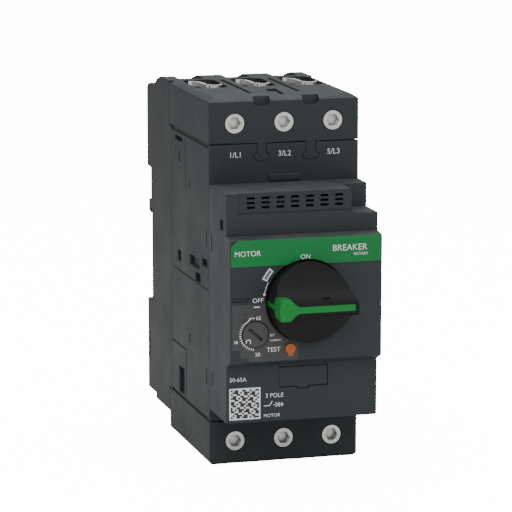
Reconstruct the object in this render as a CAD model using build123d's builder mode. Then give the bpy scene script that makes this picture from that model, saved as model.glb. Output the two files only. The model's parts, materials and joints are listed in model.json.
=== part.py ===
from build123d import *
import os
from math import cos, radians, sin

# A three-pole rotary motor protection breaker for a 35 mm rail.
# +X is right seen from the front, the front faces -Y and +Z is up.
# The origin is in the middle of the footprint, at the lowest point.

# Overall sizes (mm).
width = 55.0
height = 132.0
depth = 136.0

# Front to back stations.
knob_reach = 44.0
panel_reach = 28.0
cover_reach = 23.0
case_depth = 54.0
cap_depth = 57.0
crest_y = -depth / 2
back_y = depth / 2
face_y = crest_y + knob_reach
panel_y = face_y - panel_reach
cover_y = face_y - cover_reach
split_y = face_y + case_depth
cap_back_y = face_y + cap_depth

# Heights of the housing's parting lines and of the front parts.
cap_height = 16.5
lower_cap_height = 16.0
upper_split = height - cap_height
lower_split = lower_cap_height
knob_z = height / 2 - 2.0
cover_bottom = lower_split + 4.6
cover_top = upper_split - 13.8
panel_bottom = knob_z - 23.3
panel_top = knob_z + 22.3
contact_z = knob_z + 16.0
rail_z = knob_z - 2.5

# Walls, clearances and poles.
wall = 2.0
part_gap = 0.3
fit = 0.05
free = 0.4
side_margin = 0.5
pole_count = 3
pole_pitch = (width - 2 * side_margin) / pole_count
poles = [(i - (pole_count - 1) / 2) * pole_pitch for i in range(pole_count)]
partition = 3.0
chamber_half = (pole_pitch - partition) / 2
webs = [(a + b) / 2 for a, b in zip(poles, poles[1:])]
side = width / 2
inner_side = side - wall

# Mechanism bay and pole region of the case.
bay_depth = 16.0
bay_floor_y = face_y + bay_depth
pole_front_y = bay_floor_y + wall
bay_bottom = cover_bottom + wall
bay_top = cover_top - wall

# Contacts.
contact_travel = 6.0
contact_half = 11.5
bar_half = 14.0
pad_radius = 2.5
pad_thickness = 1.0
bridge_y = face_y + 48.0
bridge_thickness = 2.0
fixed_y = bridge_y + bridge_thickness + 2 * pad_thickness + contact_travel + part_gap
copper = 2.0
bar_width = 8.0
crossbar_y = (face_y + 38.0, face_y + 46.0)
crossbar_half = 4.0
stem_half = 4.0
spring_pocket = 4.0

# Terminals.
screw_radius = 3.0
head_radius = 3.45
head_height = 1.0
socket_flats = 4.0
socket_depth = 2.6
screw_length = 26.0
screw_hole = head_radius + 0.3
upper_screw_z = height - 9.2
lower_screw_z = 8.4
tang_y = face_y + 28.0
tang_thickness = 2.5
tang_half = 5.0
cage_half = 6.7
cage_wall = 1.2
cage_y = (face_y + 14.0, face_y + 50.0)
cage_height = 10.4
cage_floor = 2.5

# Tabs that tie the upper cap to the case, a little to the right of the webs.
tabs = [x + 0.8 for x in webs]
tab_neck = 1.6
tab_head = (2.95, 1.5)
tab_thickness = 1.8
tab_z = upper_split - 6.2 + tab_head[1]

# Knob and dial.
knob_radius = 14.2
knob_clearance = 0.4
knob_back_y = panel_y + 2.4
knob_pocket_y = panel_y + 2.8
disc_front_y = panel_y - 4.5
ridge_half = 2.4
shaft_radius = 4.0
square = 5.4
cam_radius = 6.0
cam_y = (face_y + 2.0, face_y + 5.0)
dial_x = -18.4
dial_z = knob_z - 11.0
dial_radius = 4.6
dial_stem = 2.0

# Test button, trip bar and latch.
test_x = -5.9
test_z = knob_z - 16.6
test_radius = 1.8
test_rod = 1.3
test_flange = 2.4
test_post_y = face_y - 8.0
trip_axis_y = face_y + 23.0
trip_axis_z = test_z - 4.4
trip_radius = 2.0
coil_z = trip_axis_z - 6.0
coil_radius = 6.3
pin_y = face_y + 7.0
pin_z = contact_z + 13.0
pin_radius = 1.2

# Accessory flap in the cover's lower zone.
flap_x = (-8.5, 9.4)
flap_z = (knob_z - 31.6, knob_z - 23.9)
flap_thickness = 1.4
flap_pin = 0.6
flap_axis_y = cover_y + wall / 2

# Rail clip.
rail_height = 35.2
recess_depth = 7.0
recess_y = back_y - recess_depth
recess_z = (rail_z - rail_height / 2, rail_z + rail_height / 2)
hook_lip = 1.6
flange_slot = 1.6
clip_half = 9.0
clip_rail = 1.5
clip_y = (recess_y + 1.5, back_y - 1.7)
clip_peg_z = 23.0
base_bottom = 8.7


def block(x, y, z, mode=Mode.ADD):
    """A plain box between the two ends given along each axis."""
    centre = [(low + high) / 2 for low, high in (x, y, z)]
    with Locations(tuple(centre)):
        Box(*(high - low for low, high in (x, y, z)), mode=mode)


def rod_y(x, z, radius, y, mode=Mode.ADD):
    """A cylinder along Y between two depths."""
    with Locations(Location((x, (y[0] + y[1]) / 2, z), (90, 0, 0))):
        Cylinder(radius, y[1] - y[0], mode=mode)


def rod_x(y, z, radius, x, mode=Mode.ADD):
    """A cylinder along X between two ends."""
    with Locations(Location(((x[0] + x[1]) / 2, y, z), (0, 90, 0))):
        Cylinder(radius, x[1] - x[0], mode=mode)


def around(middle, half):
    """The two ends of a span given by its middle and half its length."""
    return (middle - half, middle + half)


def save(built, label):
    """Labels a finished piece and writes it."""
    built.part.label = label
    export_step(built.part, f"parts/{label}.step")


def coil(label, radius, wire, pitch, turns, start, direction):
    """A compression spring of round wire wound about a line from start."""
    path = Helix(pitch, pitch * turns, radius, center=start, direction=direction)
    with BuildPart() as spring:
        with BuildLine():
            add(path)
        with BuildSketch(Plane(origin=path @ 0, z_dir=path % 0)):
            Circle(wire / 2)
        sweep(is_frenet=True)
    save(spring, label)


def cap_chambers(z, screw_z, floor, mouth):
    """Hollows a terminal cap and opens it for the screws and the wires."""
    for x in poles:
        block(around(x, chamber_half), (face_y + 2.5, cap_back_y - wall), z, Mode.SUBTRACT)
        rod_y(x, screw_z, screw_hole, (face_y - 1, face_y + 4), Mode.SUBTRACT)
        with BuildSketch(Plane.XY.offset(floor)) as entry:
            with Locations((x, face_y + 41.0)):
                RectangleRounded(2 * 6.0, 25.0, 4.0)
        extrude(entry.sketch, amount=mouth, mode=Mode.SUBTRACT)


def tab_shape(x, top, grow, y, mode=Mode.ADD):
    """A tab with an oval head, between two depths on the front face."""
    block(around(x, tab_neck + grow), y, (tab_z, top), mode)
    with BuildSketch(Plane.XZ.offset(-y[1])) as head:
        with Locations((x, tab_z)):
            Ellipse(tab_head[0] + grow, tab_head[1] + grow)
    extrude(head.sketch, amount=y[1] - y[0], mode=mode)


def wedge(plane, corners, length, mode=Mode.SUBTRACT):
    """A straight run of a three-cornered section."""
    with BuildSketch(plane) as section:
        with BuildLine():
            Polyline(*corners, close=True)
        make_face()
    extrude(section.sketch, amount=length, mode=mode)


def upper_terminal_cap():
    bottom = upper_split + part_gap / 2
    rim, front_run, side_run = height - 1.5, 1.8, 2.6
    with BuildPart() as cap:
        block(around(0, side), (face_y, cap_back_y), (bottom, height))
        front = ((face_y, rim), (face_y, height), (face_y + front_run, height))
        wedge(Plane.YZ.offset(-side), front, width)
        for x in (-side, side):
            inner = x - side_run if x > 0 else x + side_run
            flank = ((x, rim), (x, height), (inner, height))
            wedge(Plane.XZ.offset(-cap_back_y), flank, cap_depth)
        cap_chambers((bottom, height - 2.5), upper_screw_z, height - 3, 4)
        for x in webs:
            block(around(x, 0.6), (face_y + 12, face_y + 53), (height - 3, height), Mode.SUBTRACT)
        for x in tabs:
            # Cut-out in the cap's front edge over each tab.
            cut = (face_y - 1, face_y + 2)
            rod_y(x - 1, height - 1.5, 2.0, cut, Mode.SUBTRACT)
            rod_y(x + 1, height - 1.5, 2.0, cut, Mode.SUBTRACT)
            block(around(x, 3.0), cut, (height - 1.5, height + 1), Mode.SUBTRACT)
            block(around(x, 1.0), cut, (height - 3.5, height - 1.0), Mode.SUBTRACT)
            tab_shape(x, bottom + 1, 0, (face_y, face_y + tab_thickness))
        with BuildSketch(Plane.XY.offset(height)) as arrow:
            with BuildLine():
                Polyline(
                    (-1.3, face_y + 5),
                    (1.6, face_y + 5),
                    (2.8, face_y + 21),
                    (-1.6, face_y + 20),
                    close=True,
                )
            make_face()
        extrude(arrow.sketch, amount=-0.8, mode=Mode.SUBTRACT)
    save(cap, "upper_terminal_cap")


def lower_terminal_cap():
    top = lower_split - part_gap / 2
    with BuildPart() as cap:
        block(around(0, side), (face_y, cap_back_y + 1), (0, top))
        rim = cap.edges().group_by(Axis.Z)[0].sort_by(Axis.Y)[:-1]
        chamfer(rim, 1.0)
        cap_chambers((2.5, top), lower_screw_z, -1, 4)
        for x in poles:
            block(around(x, 3.0), (face_y - 1, face_y + 1.2), (-1, 0.7), Mode.SUBTRACT)
    save(cap, "lower_terminal_cap")


def case_housing():
    top, bottom = upper_split - part_gap / 2, lower_split + part_gap / 2
    back = split_y - part_gap / 2
    with BuildPart() as case:
        block(around(0, side), (face_y, back), (bottom, top))
        block(around(0, inner_side), (face_y - 1, bay_floor_y), (bay_bottom, bay_top), Mode.SUBTRACT)
        for x in poles:
            room = around(x, chamber_half)
            block(room, (pole_front_y, back + 1), (bottom + wall, top - wall), Mode.SUBTRACT)
            block(room, (face_y + 2.5, pole_front_y + 1), (bay_top + wall, top - wall), Mode.SUBTRACT)
            for z in (top - wall, bottom):
                block(around(x, 6), (tang_y - 1, tang_y + 4), (z - 0.1, z + wall + 0.1), Mode.SUBTRACT)
        for x in webs:
            window = around(x, partition)
            crossing = around(contact_z, crossbar_half + 1)
            block(window, (crossbar_y[0] - 2, back + 1), crossing, Mode.SUBTRACT)
            block(window, around(trip_axis_y, 3), around(trip_axis_z, 3), Mode.SUBTRACT)
        for x in tabs:
            seat = (face_y - 1, face_y + tab_thickness + part_gap)
            tab_shape(x, top + 1, 0.2, seat, Mode.SUBTRACT)
        # Openings in the bay floor for the carrier stem and the test rod.
        floor = (bay_floor_y - 1, pole_front_y + 1)
        stem = stem_half + part_gap
        block(around(0, stem), floor, around(contact_z, stem), Mode.SUBTRACT)
        rod_y(test_x, test_z, test_rod + free, floor, Mode.SUBTRACT)
        # Hollow post that guides the test rod and seats its spring.
        rod_y(test_x, test_z, test_rod + 1.8, (test_post_y, bay_floor_y))
        rod_y(test_x, test_z, test_rod + free, (test_post_y - 1, pole_front_y + 1), Mode.SUBTRACT)
        # Blind bearings of the trip bar in both sides.
        rod_x(trip_axis_y, trip_axis_z, trip_radius + fit, around(0, inner_side + 1), Mode.SUBTRACT)
        # Latch tab over the cover, with its finger gap.
        block(around(0, 5.6), (face_y - 0.9, face_y), (cover_top + 0.4, cover_top + 2.7))
        # Shadow grooves under the upper cap and over the lower one.
        for x in (-side, side):
            for z in ((top - 1.2, top + 1), (bottom - 1, bottom + 1.0)):
                block(around(x, 0.6), (face_y + 1, back + 1), z, Mode.SUBTRACT)
        side_pockets()
    save(case, "case_housing")


def side_pockets():
    """Slots, hooks' seats and parting lines on both outer sides of the case."""
    pockets = (
        ((38.0, 48.0), (111.2, 112.8)),
        ((41.6, 42.8), (103.9, 107.5)),
        ((40.6, 45.0), (66.8, 70.7)),
        ((14.0, 27.4), (68.4, 72.2)),
        ((2.5, 10.0), (71.2, 73.9)),
        ((12.0, 19.0), (63.8, 67.2)),
        ((27.4, 28.4), (96.2, 99.0)),
        ((27.2, 28.4), (39.3, 42.4)),
        ((35.7, 43.3), (17.6, 27.4)),
        ((3.4, 4.3), (78.7, 85.2)),
        ((3.4, 4.3), (29.1, 34.7)),
    )
    lines = (
        ((33.2, 33.8), (94.5, 113.0)),
        ((32.7, 33.3), (17.6, 35.4)),
        ((33.3, 54.5), (35.1, 35.6)),
        ((2.0, 52.0), (63.2, 63.6)),
    )
    lift = knob_z - 64.0
    for x in (-side, side):
        for sunk, places in ((1.4, pockets), (0.7, lines)):
            for y, z in places:
                span = (face_y + y[0], face_y + y[1])
                block(around(x, sunk), span, (z[0] + lift, z[1] + lift), Mode.SUBTRACT)


def base_housing():
    front = split_y + part_gap / 2
    under, over = lower_split + part_gap / 2, upper_split - part_gap / 2
    cap_line = cap_back_y + 1 + part_gap
    step_y = back_y - 5.7
    hump = ((back_y - 11, height - 5), (back_y - 16.5, height - 1.7), (back_y - 23, height - 0.4))
    with BuildPart() as base:
        with BuildSketch(Plane.YZ.offset(-side)):
            with BuildLine():
                Polyline(
                    (front, under),
                    (cap_line, under),
                    (cap_line, base_bottom - 2),
                    (back_y - 12, base_bottom - 2),
                    (back_y - 12, base_bottom),
                    (back_y, base_bottom),
                    (back_y, recess_z[0]),
                    (recess_y, recess_z[0]),
                    (recess_y, recess_z[1]),
                    (recess_y + flange_slot, recess_z[1]),
                    (recess_y + flange_slot, recess_z[1] - hook_lip),
                    (back_y - 2.2, recess_z[1] - hook_lip + 0.6),
                    (back_y - 2.2, recess_z[1] + 3.5),
                    (step_y, recess_z[1] + 4.2),
                    (step_y, recess_z[1] + 15.7),
                    (back_y, recess_z[1] + 16.1),
                    (back_y, height - 6.5),
                    (back_y - 2.5, height - 5),
                    hump[0],
                )
                ThreePointArc(*hump)
                Polyline(
                    hump[2],
                    (cap_line - 1, height - 0.4),
                    (cap_line - 1, over),
                    (front, over),
                    (front, under),
                )
            make_face()
        extrude(amount=width)
        for x in poles:
            room = around(x, chamber_half)
            block(room, (front - 1, recess_y - wall), (under + wall, over - wall), Mode.SUBTRACT)
            # Posts that hold the fixed contacts and the coil.
            for z in (contact_z + contact_half, contact_z - contact_half):
                post = (fixed_y + copper, recess_y)
                block(around(x, 3.5), post, around(z, 3.5))
            block(around(x, 5), (face_y + 57.5, recess_y), around(coil_z, 4))
            # Half-round dips between the humps on top.
            rod_y(x, height - 0.5, 4.5, (cap_line - 2, back_y - 15), Mode.SUBTRACT)
        # Crossbar windows in the partitions continue a little into the base.
        for x in webs:
            block(around(x, partition), (front - 1, front + 3), around(contact_z, 5), Mode.SUBTRACT)
        clip_seat()
        for x in (-side, side):
            block(around(x, 0.6), (back_y - 3.6, back_y - 2.8), (21.8, 30.8), Mode.SUBTRACT)
    save(base, "base_housing")


def clip_seat():
    """Guides for the rail clip, open to the back, below and into the rail recess."""
    high = recess_z[0] + 0.1
    seat = clip_half + part_gap
    block(around(0, seat), (clip_y[0] - part_gap, back_y + 1), (base_bottom - 3, high), Mode.SUBTRACT)
    lane = (clip_y[0] + 1 - part_gap, clip_y[0] + 2.6 + part_gap)
    block(around(0, seat + clip_rail), lane, (base_bottom - 3, high), Mode.SUBTRACT)
    # Peg that the clip's spring stands on.
    block(around(0, 1.8), (clip_y[0] - part_gap, clip_y[1] - 1.2), (clip_peg_z - 3.0, clip_peg_z))


def front_cover():
    seat_y = face_y - part_gap / 2
    with BuildPart() as cover:
        with BuildSketch(Plane.YZ.offset(-side)):
            with BuildLine():
                Polyline(
                    (seat_y, cover_bottom),
                    (cover_y, cover_bottom),
                    (cover_y, panel_bottom),
                    (panel_y, panel_bottom + 2.4),
                    (panel_y, panel_top),
                    (cover_y, panel_top + 0.6),
                    (cover_y, cover_top),
                    (seat_y, cover_top),
                    close=True,
                )
            make_face()
        extrude(amount=width)
        corner = (cover_top - 8.4, cover_top + 1)
        block((18.1, side + 1), (cover_y - 1, face_y - 10), corner, Mode.SUBTRACT)
        # Rebate along the top rear edge, a shadow line against the case.
        rebate = (seat_y - 0.5, seat_y + 1)
        block(around(0, side + 1), rebate, (cover_top - 1.4, cover_top + 1), Mode.SUBTRACT)
        inside = (cover_y + wall, seat_y + 1)
        block(around(0, inner_side), inside, (cover_bottom + wall, cover_top - 10.4), Mode.SUBTRACT)
        upper_room = (cover_top - 10.5, cover_top - wall)
        block((-inner_side, 16.1), inside, upper_room, Mode.SUBTRACT)
        block((16.0, inner_side), (face_y - 8, seat_y + 1), upper_room, Mode.SUBTRACT)
        hollow = (panel_y + wall, cover_y + wall + 1)
        block(around(0, inner_side), hollow, (panel_bottom + 4, panel_top - 2), Mode.SUBTRACT)
        # Seat of the knob with its bearing.
        rod_y(0, knob_z, knob_radius + 2.4, (panel_y + 1, cover_y + 1))
        rod_y(0, knob_z, knob_radius + knob_clearance, (panel_y - 1, knob_pocket_y), Mode.SUBTRACT)
        rod_y(0, knob_z, shaft_radius + fit, (panel_y, face_y), Mode.SUBTRACT)
        # Seat of the current dial with its bearing.
        rod_y(dial_x, dial_z, dial_radius + 1.8, (panel_y + 1, cover_y + wall))
        rod_y(dial_x, dial_z, dial_radius + 0.3, (panel_y - 1, cover_y), Mode.SUBTRACT)
        rod_y(dial_x, dial_z, dial_stem + fit, (panel_y, face_y), Mode.SUBTRACT)
        # Hole of the test button, with room behind it for the flange and the spring.
        rod_y(test_x, test_z, test_radius + 0.1, (panel_y - 1, panel_y + 4), Mode.SUBTRACT)
        rod_y(test_x, test_z, test_flange + 0.2, (panel_y + 2.3, face_y), Mode.SUBTRACT)
        vents()
        flap_opening()
        # Recess for the setting plate, and the small reading slot above it.
        add(setting_outline(0.6), mode=Mode.SUBTRACT)
        block((-26.6, -20.9), (panel_y - 1, panel_y + 0.6), (knob_z + 0.5, knob_z + 2.1), Mode.SUBTRACT)
        # Small side slots.
        for x in (-side, side):
            for z in (around(knob_z + 17.6, 3.5), around(knob_z - 31.6, 2.8)):
                block(around(x, 0.7), (face_y - 4, face_y - 3), z, Mode.SUBTRACT)
            notch = (face_y - 19, face_y - 14.6)
            block(around(x, 1.4), notch, (panel_top + 1.9, panel_top + 5.4), Mode.SUBTRACT)
    save(cover, "front_cover")


def vents():
    """The sunk grille over the mechanism: rows and columns of small slots."""
    grille_z = cover_top - 7.4
    block((-23.1, 18.2), (cover_y - 1, cover_y + 0.8), (grille_z, cover_top + 1), Mode.SUBTRACT)
    for column in range(-3, 4):
        for row in range(-1, 2):
            slot_x = around(-2.5 + 5.31 * column, 1.45)
            slot_z = around(cover_top - 3.55 + 1.65 * row, 0.45)
            block(slot_x, (cover_y - 1, cover_y + wall + 1), slot_z, Mode.SUBTRACT)


def flap_opening():
    """The flap's window in the cover with the bearings of its two pins."""
    depth_range = (cover_y - 1, cover_y + wall + 1)
    block(flap_x, depth_range, flap_z, Mode.SUBTRACT)
    block((-1.9, 2.5), depth_range, (flap_z[0] - 0.7, flap_z[0] + 1), Mode.SUBTRACT)
    hinge = (flap_x[0] - 1.2, flap_x[1] + 1.2)
    rod_x(flap_axis_y, flap_z[1] - 0.9, flap_pin + fit, hinge, Mode.SUBTRACT)


def accessory_flap():
    gap = 0.2
    y = around(flap_axis_y, flap_thickness / 2)
    with BuildPart() as flap:
        block((flap_x[0] + gap, flap_x[1] - gap), y, (flap_z[0] + gap, flap_z[1] - gap))
        fillet(flap.edges().filter_by(Axis.X).group_by(Axis.Z)[-1], flap_thickness / 2 - 0.01)
        block((-1.9 + gap, 2.5 - gap), y, (flap_z[0] - 0.5, flap_z[0] + 1))
        pins = (flap_x[0] - 1.0, flap_x[1] + 1.0)
        rod_x(flap_axis_y, flap_z[1] - 0.9, flap_pin, pins)
    save(flap, "accessory_flap")


def setting_outline(thickness):
    """The setting plate's body, from the panel's face inwards."""
    right, low = test_x + test_radius + 1.0, knob_z - 20.6
    with BuildPart() as plate:
        with BuildSketch(Plane.XZ.offset(-panel_y - thickness)):
            with BuildLine():
                Polyline(
                    (-26.8, knob_z - 0.4),
                    (-10.0, knob_z - 0.4),
                    (-10.0, knob_z - 5.0),
                    (right, knob_z - 10.0),
                    (right, low),
                    (-20.9, low),
                    (-20.9, low + 1.2),
                    (-23.8, low + 1.2),
                    (-23.8, low + 4.2),
                    (-26.8, low + 4.2),
                    close=True,
                )
            make_face()
            with Locations((0, knob_z)):
                Circle(knob_radius + knob_clearance + 0.5, mode=Mode.SUBTRACT)
            with Locations((dial_x, dial_z)):
                Circle(dial_radius + 0.3, mode=Mode.SUBTRACT)
            with Locations((test_x, test_z)):
                Circle(test_radius + 0.1, mode=Mode.SUBTRACT)
        extrude(amount=thickness)
    return plate.part


def setting_plate():
    with BuildPart() as plate:
        add(setting_outline(0.6))
        block((-24.1, -21.8), (panel_y - 1, panel_y + 0.3), (knob_z - 6.4, knob_z - 3.2), Mode.SUBTRACT)
    save(plate, "setting_plate")


def nameplate():
    low, high, edge = panel_top - 9.3, panel_top - 0.1, side - 0.2
    with BuildPart() as plate:
        with BuildSketch(Plane.XZ.offset(-panel_y)):
            with BuildLine():
                Polyline(
                    (-edge, low),
                    (edge, low),
                    (edge, high - 0.8),
                    (edge - 0.8, high),
                    (-edge + 2.3, high),
                    (-edge, high - 2.0),
                    close=True,
                )
            make_face()
            with Locations((0, knob_z)):
                Circle(knob_radius + knob_clearance + 0.2, mode=Mode.SUBTRACT)
        extrude(amount=0.4)
    save(plate, "nameplate")


def pointer_solid(clearance):
    """The coloured pointer: a strip on the ridge, a broad head and a rim tongue."""
    strip = (crest_y, crest_y + 1.6 + clearance)
    head_back = crest_y + 7.3 + clearance
    head_half, strip_half = 3.8 + clearance, 1.2 + clearance
    with BuildPart() as pointer:
        block((-9.0, 12.9 + clearance), strip, around(knob_z, strip_half))
        with BuildSketch(Plane.XZ.offset(-head_back)):
            with BuildLine():
                low, high = (-7.1, knob_z - strip_half), (-7.1, knob_z + strip_half)
                rim = knob_radius + 1
                Line(low, high)
                ThreePointArc(high, (-8.4, knob_z + strip_half + 0.8), (-10.3, knob_z + head_half))
                Polyline(
                    (-10.3, knob_z + head_half),
                    (-rim, knob_z + head_half),
                    (-rim, knob_z - head_half),
                    (-10.3, knob_z - head_half),
                )
                ThreePointArc((-10.3, knob_z - head_half), (-8.4, knob_z - strip_half - 0.8), low)
            make_face()
        extrude(amount=head_back - crest_y)
        tongue = (crest_y + 7.0, panel_y - 0.3 + clearance)
        block((-knob_radius - 1, -12.0 + clearance), tongue, around(knob_z, 0.95 + clearance))
    return pointer.part


def rotary_knob():
    rim = knob_radius + 2
    with BuildPart() as knob:
        rod_y(0, knob_z, knob_radius, (crest_y, knob_back_y))
        for turn in (1, -1):
            with BuildSketch(Plane.YZ.offset(-rim)):
                with BuildLine():
                    start = (crest_y - 1, knob_z + turn * ridge_half)
                    crest = (crest_y, knob_z + turn * ridge_half)
                    foot = (disc_front_y, knob_z + turn * rim)
                    Polyline(foot, (crest_y - 1, knob_z + turn * rim), start, crest)
                    ThreePointArc(crest, (crest_y + 8.6, knob_z + turn * (ridge_half + 4.0)), foot)
                make_face()
            extrude(amount=2 * rim, mode=Mode.SUBTRACT)
        add(pointer_solid(fit), mode=Mode.SUBTRACT)
        # Oval slot in the ridge's upper flank.
        with BuildSketch(Plane.XY.offset(knob_z + ridge_half + 0.2)) as slot:
            with Locations((3.2, crest_y + 3.5)):
                SlotOverall(2.8, 1.4)
        extrude(slot.sketch, amount=5.0, mode=Mode.SUBTRACT)
        # Back recess around the hub, and the square socket for the shaft.
        with BuildSketch(Plane.XZ.offset(-knob_back_y)):
            with Locations((0, knob_z)):
                Circle(knob_radius - 2.2)
                Circle(shaft_radius + 2.2, mode=Mode.SUBTRACT)
        extrude(amount=3.2, mode=Mode.SUBTRACT)
        half = square / 2 + fit
        block(around(0, half), (disc_front_y, knob_back_y + 1), around(knob_z, half), Mode.SUBTRACT)
    save(knob, "rotary_knob")


def knob_pointer():
    with BuildPart() as pointer:
        add(pointer_solid(0))
        rod_y(0, knob_z, knob_radius, (crest_y - 1, panel_y), Mode.INTERSECT)
    save(pointer, "knob_pointer")


def drive_shaft():
    with BuildPart() as shaft:
        half = square / 2
        block(around(0, half), (disc_front_y + 0.2, knob_back_y + 1), around(knob_z, half))
        rod_y(0, knob_z, shaft_radius, (knob_back_y + 0.1, cam_y[0]))
        rod_y(0, knob_z, cam_radius, cam_y)
        rod_y(4.2, knob_z, pin_radius, (cam_y[1], cam_y[1] + 4))
    save(shaft, "drive_shaft")


def mechanism_frame():
    foot = (contact_z - 6.5, bay_top - 1.5)
    with BuildPart() as frame:
        for x in (-9.6, 9.6):
            block(around(x, 0.6), (face_y + 3, bay_floor_y), foot)
        block(around(0, 10.2), (bay_floor_y - 1.5, bay_floor_y), foot)
        hole = around(0, stem_half + 1)
        block(hole, (bay_floor_y - 2, bay_floor_y + 1), around(contact_z, stem_half + 1), Mode.SUBTRACT)
        rod_x(pin_y, pin_z, pin_radius, (-11.2, 11.2))
    save(frame, "mechanism_frame")


def toggle_lever():
    reach = contact_z
    with BuildPart() as lever:
        block(around(0, 3), around(pin_y, 1), (reach - 2.5, pin_z))
        rod_x(pin_y, pin_z, 2.6, around(0, 3))
        block(around(0, 2), (pin_y, face_y + 10.1), around(reach, 2.2))
        rod_x(pin_y, pin_z, pin_radius + fit, around(0, 4), Mode.SUBTRACT)
    save(lever, "toggle_lever")


def latch_lever():
    with BuildPart() as lever:
        block((4.5, 6.5), around(pin_y, 1.6), (contact_z - 3, pin_z + 3))
        rod_x(pin_y, pin_z, 3.0, (4.5, 6.5))
        block((4.5, 8.0), around(pin_y, 1.6), (contact_z - 3, contact_z - 1))
        rod_x(pin_y, pin_z, pin_radius + fit, (4, 7), Mode.SUBTRACT)
    save(lever, "latch_lever")


def contact_carrier():
    lugs_y = (crossbar_y[1], bridge_y + bridge_thickness + pad_thickness)
    with BuildPart() as carrier:
        block(around(0, poles[-1] + 6.0), crossbar_y, around(contact_z, crossbar_half))
        block(around(0, stem_half), (face_y + 10.5, crossbar_y[0]), around(contact_z, stem_half))
        for x in poles:
            for outward in (-1, 1):
                lug = sorted((x + outward * (bar_width / 2 - 0.7), x + outward * 5.3))
                block(tuple(lug), lugs_y, around(contact_z, crossbar_half))
            pocket = (crossbar_y[1] - 5, crossbar_y[1])
            rod_y(x, contact_z, spring_pocket / 2 + 0.4, pocket, Mode.SUBTRACT)
    save(carrier, "contact_carrier")


def contact_bridge(label, x):
    with BuildPart() as bridge:
        half = bar_width / 2 - 1.0
        block(around(x, half), (bridge_y, bridge_y + bridge_thickness), around(contact_z, bar_half))
        for z in (contact_z - contact_half, contact_z + contact_half):
            pad = (bridge_y + bridge_thickness, bridge_y + bridge_thickness + pad_thickness)
            rod_y(x, z, pad_radius, pad)
    save(bridge, label)


def line_conductor(label, x):
    run_z = upper_split - 6.5
    back = fixed_y + copper
    foot = contact_z + contact_half - 3.5
    with BuildPart() as bar:
        block(around(x, tang_half), (tang_y, tang_y + tang_thickness), (run_z, height - 6))
        block(around(x, tang_half), (tang_y, back), (run_z, run_z + copper))
        block(around(x, bar_width / 2), (fixed_y, back), (foot, run_z + copper))
        rod_y(x, contact_z + contact_half, pad_radius, (fixed_y - pad_thickness, fixed_y))
    save(bar, label)


def fixed_contact(label, x):
    low, high = coil_z + 9.0, contact_z - contact_half + 3.5
    with BuildPart() as bar:
        block(around(x, bar_width / 2), (fixed_y, fixed_y + copper), (low, high))
        block(around(x, bar_width / 2), (face_y + 52, fixed_y + copper), (low - copper, low))
        rod_y(x, contact_z - contact_half, pad_radius, (fixed_y - pad_thickness, fixed_y))
    save(bar, label)


def load_conductor(label, x):
    run_z = lower_split + 8.0
    with BuildPart() as bar:
        block(around(x, tang_half), (tang_y, tang_y + tang_thickness), (4.0, run_z + copper))
        block(around(x, tang_half), (face_y + 24.6, face_y + 44), (run_z, run_z + copper))
    save(bar, label)


def trip_coil(label, x):
    """A wound coil in its steel yoke, with a lead down to the load conductor."""
    yoke = (face_y + 36.0, face_y + 57.5)
    turn = (yoke[1] - yoke[0] - 3.6) / 6
    bore = 1.9
    with BuildPart() as coil_part:
        rod_y(x, coil_z, coil_radius - 0.7, (yoke[0] + 1.4, yoke[1] - 1.4))
        for i in range(6):
            middle = yoke[0] + 1.8 + (i + 0.5) * turn
            rod_y(x, coil_z, coil_radius, around(middle, turn / 2 - 0.25))
        for y in (yoke[0], yoke[1] - 1.5):
            block(around(x, 6.8), (y, y + 1.5), (coil_z - 7.6, coil_z + 7.0))
        block(around(x, 6.8), yoke, (coil_z - 8.8, coil_z - 7.4))
        rod_y(x, coil_z, bore, (yoke[0] - 1, yoke[1] - 3), Mode.SUBTRACT)
        lead_foot = lower_split + 10.0
        block(around(x, 2), (yoke[0] + 2, yoke[0] + 5), (lead_foot, coil_z - 8.0))
    save(coil_part, label)


def trip_plunger(label, x):
    with BuildPart() as plunger:
        rod_y(x, coil_z, 1.5, (face_y + 27.6, face_y + 52))
        rod_y(x, coil_z, 2.4, (face_y + 26.6, face_y + 28.4))
    save(plunger, label)


def bimetal(label, x):
    low = lower_split + 10.0
    with BuildPart() as strip:
        block((x + 3.0, x + 6.0), (face_y + 25.4, face_y + 26.4), (low, trip_axis_z - 3.4))
        block((x + 1.0, x + 6.0), (face_y + 25.0, face_y + 27.4), (low, low + 2))
    save(strip, label)


def arc_chute(label, x):
    """Two combs of splitter plates between insulating cheeks, above and below."""
    plates, first, pitch = 8, face_y + 36.5, 2.5
    upper = (contact_z + bar_half + 1.5, upper_split - 7.2)
    lower = (coil_z + 10.2, contact_z - bar_half - 1.5)
    plate_half, cheek_x = chamber_half - 0.9, chamber_half - 0.8
    with BuildPart() as chute:
        for low, high in (upper, lower):
            for i in range(plates):
                y = first + i * pitch
                block(around(x, plate_half), (y, y + 1), (low, high))
            notch = (low - 1, low + 4) if low == upper[0] else (high - 4, high + 1)
            block(around(x, 2), (first - 1, first + plates * pitch), notch, Mode.SUBTRACT)
            for cheek in (x - cheek_x, x + cheek_x):
                block(around(cheek, 0.5), (first - 1, first + plates * pitch), (low, high))
    save(chute, label)


def trip_bar():
    with BuildPart() as bar:
        rod_x(trip_axis_y, trip_axis_z, trip_radius, around(0, inner_side + 0.8))
        for x in poles:
            finger = (face_y + 22.0, face_y + 23.5)
            block((x - 1.6, x + 6.2), finger, (trip_axis_z - 8, trip_axis_z))
        tab = (face_y + 22.0, face_y + 23.6)
        block(around(test_x, 1.4), tab, (trip_axis_z, test_z + 2.2))
    save(bar, "trip_bar")


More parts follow.
